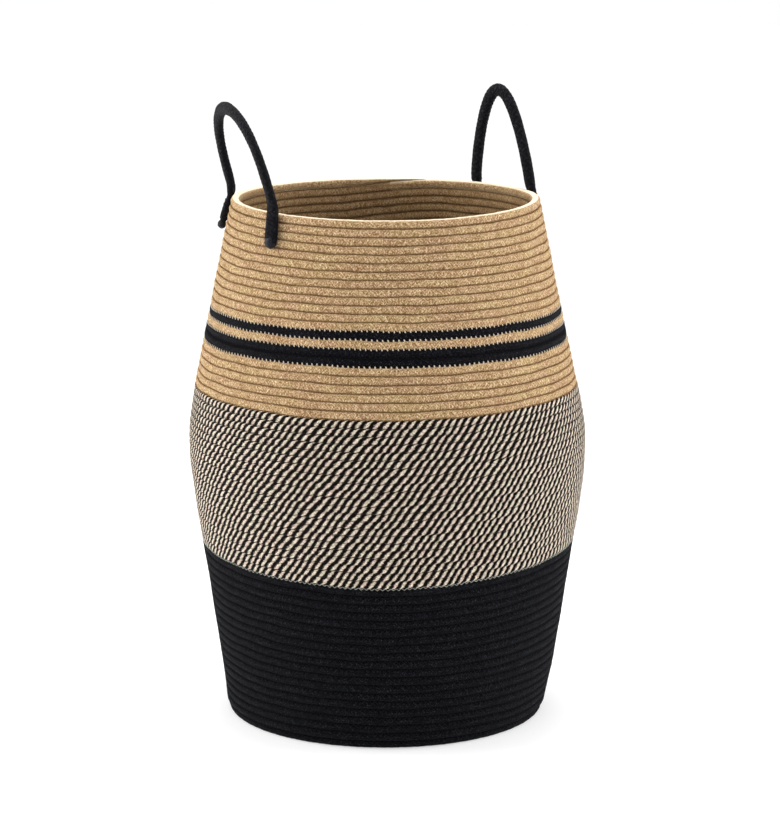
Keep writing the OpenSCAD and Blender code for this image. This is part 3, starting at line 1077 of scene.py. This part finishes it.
def handleSewing(side, where, material):
    # two rows of stitches that hold a leg to the wall
    end = handleShapes[side]["front"] * (1 if where == "front" else -1)
    bm = bmesh.new()
    bm.loops.layers.uv.new("lay")
    chance = np.random.default_rng(7 + end)
    for i in range(handle["stitchCount"]):
        for row in (-0.5, 0.5):
            down = handle["stitchStart"] + i * handle["stitchPitch"] + handle["stitchLength"] / 2
            place, facing = legPoint(side, end, down)
            side3 = facing.cross(Vector((0, 0, 1))).normalized()
            thin = thinning(legShapes[where], handle["legLength"] - down)
            place = place + side3 * row * handle["stitchRows"] * thin + facing * handle["halfThick"] * thin
            made = bmesh.ops.create_uvsphere(bm, u_segments=10, v_segments=8, radius=1, calc_uvs=True)
            halfSizes = (handle["stitchWide"], handle["stitchThick"], handle["stitchLength"] / 2)
            lengthways = Matrix.Diagonal((*halfSizes, 1))
            lean = Matrix.Rotation(chance.uniform(-handle["stitchLean"], handle["stitchLean"]), 4, "Y")
            turn = facing.to_track_quat("Y", "Z").to_matrix().to_4x4()
            bmesh.ops.transform(
                bm, matrix=Matrix.Translation(place) @ turn @ lean @ lengthways, verts=made["verts"]
            )
    smallPiece(f"{side}_{where}_sewing", bm, material, f"{side}_{where}_stitches")


ropeStart = {
    "radius": 4.7 * mm,
    "low": 0.2 * mm,
    "high": 10.4 * mm,
    "flatness": 0.6,  # 1 is round, less is flatter on both sides
}


def startOfRope(material):
    # the rope's first end, sealed and tucked into the middle of the base
    bm = bmesh.new()
    bmesh.ops.create_uvsphere(bm, u_segments=24, v_segments=16, radius=1)
    halfHigh = (ropeStart["high"] - ropeStart["low"]) / 2
    for v in bm.verts:
        v.co.z = math.copysign(abs(v.co.z) ** ropeStart["flatness"], v.co.z)
    bmesh.ops.scale(bm, vec=(ropeStart["radius"], ropeStart["radius"], halfHigh), verts=bm.verts)
    bmesh.ops.translate(bm, vec=(0, 0, ropeStart["low"] + halfHigh), verts=bm.verts)
    smallPiece("rope_start", bm, material, "base_start")


makeStudio()

tanRope = braidedMaterial("tan braided rope", tanLook, braided["strands"])
blackRope = braidedMaterial("black braided rope", blackLook, braided["strands"])
paintedHighlightRimRope = braidedMaterial("rim braided rope with painted highlight", rimPaintedHighlightLook, braided["strands"])
handleCord = braidedMaterial("handle rope", handleLook, handle["strands"])
twoToneRope = twistedMaterial("two-tone twisted rope", twoToneLook)
borderThread = threadMaterial("pale thread", (0.95, 0.86, 0.70, 1), (0.72, 0.57, 0.40, 1), tanLook)
tanThread = threadMaterial("tan thread", (0.52, 0.31, 0.13, 1), (0.17, 0.075, 0.02, 1), tanLook)
greyThread = threadMaterial("grey thread", (0.12, 0.09, 0.07, 1), (0.03, 0.02, 0.014, 1), tanLook)
paleGreyThread = threadMaterial("pale grey thread", (0.66, 0.70, 0.60, 1), (0.30, 0.31, 0.26, 1), tanLook)
blackThread = threadMaterial("black thread", (0.014, 0.014, 0.018, 1), (0.003, 0.003, 0.004, 1), blackLook)
meltedEnd = meltedMaterial("sealed rope end", handleLook)
print("materials made")

for label, node in (
    ("base_rope", "base_coil"),
    ("black_rope", "black_coil"),
    ("double_stripe_rope", "double_stripe_coil"),
    ("black_stripe_rope", "black_stripe_coil"),
):
    braidedBand(label, node, "black", blackRope)
print("black turns made")
for label, node in (("lower_tan_rope", "lower_tan_coil"), ("tan_stripe_rope", "tan_stripe_coil")):
    braidedBand(label, node, "tan", tanRope)
# the rim takes in the upper half of the stretch that climbs to its level
climb = coil["stepShare"] / 2
braidedBand("upper_tan_rope", "upper_tan_coil", "tan", tanRope, endEarly=climb)
braidedBand(
    "rim_rope", "rim_coil", "rim", paintedHighlightRimRope, taper=braided["rimEnd"], startEarly=climb
)
print("tan turns made")
twoToneBand(twoToneRope)
print("two-tone turns made")
startOfRope(meltedEnd)

# groove i lies between turns i and i + 1, so a band's first border is one turn before it
firstOf = {name: first for name, (first, turns) in bands.items()}
wallFrom = firstOf["black_coil"] - 1
twoToneFrom = firstOf["two_tone_coil"] - 1
lowerTanFrom = firstOf["lower_tan_coil"] - 1
doubleFrom = firstOf["double_stripe_coil"]
stripesFrom = firstOf["tan_stripe_coil"] - 1
upperFrom = firstOf["upper_tan_coil"]
rimFrom = firstOf["rim_coil"]
zigzag("base_thread", "base_seam", "black", 0.0, wallFrom, blackThread, inside=True)
zigzag("base_thread_under", "base_seam", "black", 0.0, wallFrom, blackThread)
zigzag("black_thread", "black_seam", "black", wallFrom, twoToneFrom, blackThread)
zigzag("stripe_thread", "black_seam", "black", doubleFrom, stripesFrom, blackThread)
zigzag(
    "foot_border_thread", "two_tone_seam", "border", twoToneFrom, twoToneFrom + 1,
    paleGreyThread,
)
zigzag("two_tone_thread", "two_tone_seam", "grey", twoToneFrom + 1, lowerTanFrom, greyThread)
zigzag("lower_tan_thread", "tan_seam", "tan", lowerTanFrom, doubleFrom - 1, tanThread)
crossStitches("lower_border_stitches", "tan_seam", doubleFrom - 1, doubleFrom, 1, borderThread)
crossStitches("middle_border_stitches", "tan_seam", stripesFrom, stripesFrom + 1, -1, borderThread)
crossStitches("upper_border_stitches", "tan_seam", stripesFrom + 1, stripesFrom + 2, 1, borderThread)
crossStitches("top_border_stitches", "tan_seam", stripesFrom + 2, upperFrom, -1, borderThread)
for label, first, last in (
    ("lower_border_thread_under", doubleFrom - 1, doubleFrom),
    ("upper_border_thread_under", stripesFrom, upperFrom),
):
    zigzag(label, "black_seam", "blackBorder", first, last, blackThread)
zigzag("upper_tan_thread", "tan_seam", "tan", upperFrom, rimFrom, tanThread)
zigzag("inner_tan_thread", "tan_seam", "tan", upperFrom, rimFrom, tanThread, inside=True)
print("sewing made")

for side in handleShapes:
    handleRope(side, handleCord)
    for where in ("front", "rear"):
        ropeEnd(side, where, meltedEnd)
        handleSewing(side, where, blackThread)
print("handles made")
